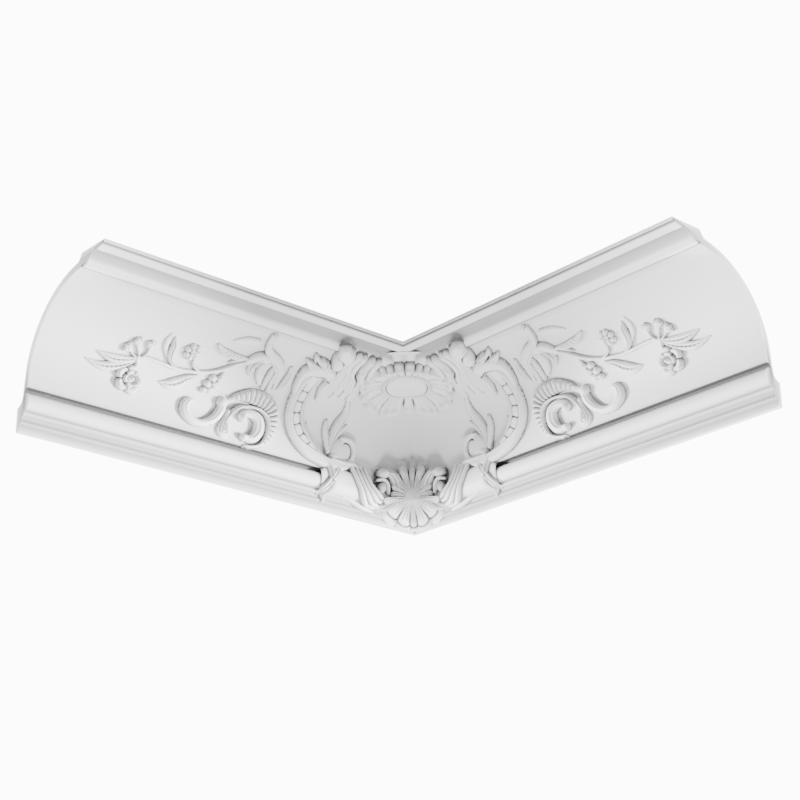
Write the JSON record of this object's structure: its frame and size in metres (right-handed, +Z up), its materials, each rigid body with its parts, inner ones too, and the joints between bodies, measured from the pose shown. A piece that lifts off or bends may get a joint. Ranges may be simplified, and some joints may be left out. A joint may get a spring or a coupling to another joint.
{
  "type": "ceiling cornice inside corner",
  "caption": "White coved ceiling cornice turned round an inside corner, with rococo scrolls, flower sprays, a medallion and a palmette.",
  "frame": {"origin": "middle of the ceiling land, on the mitre of the two arms", "axes": "+Z up to the ceiling; +Y towards the wall behind the left arm; +X towards the wall behind the right arm; the left arm runs along -X and the right arm along -Y"},
  "size_m": [0.47, 0.47, 0.14],
  "materials": {
    "primed_white": "matte white primer on a moulded casting"
  },
  "bodies": {
    "root": {"cornice_corner": "primed_white"}
  },
  "joints": []
}
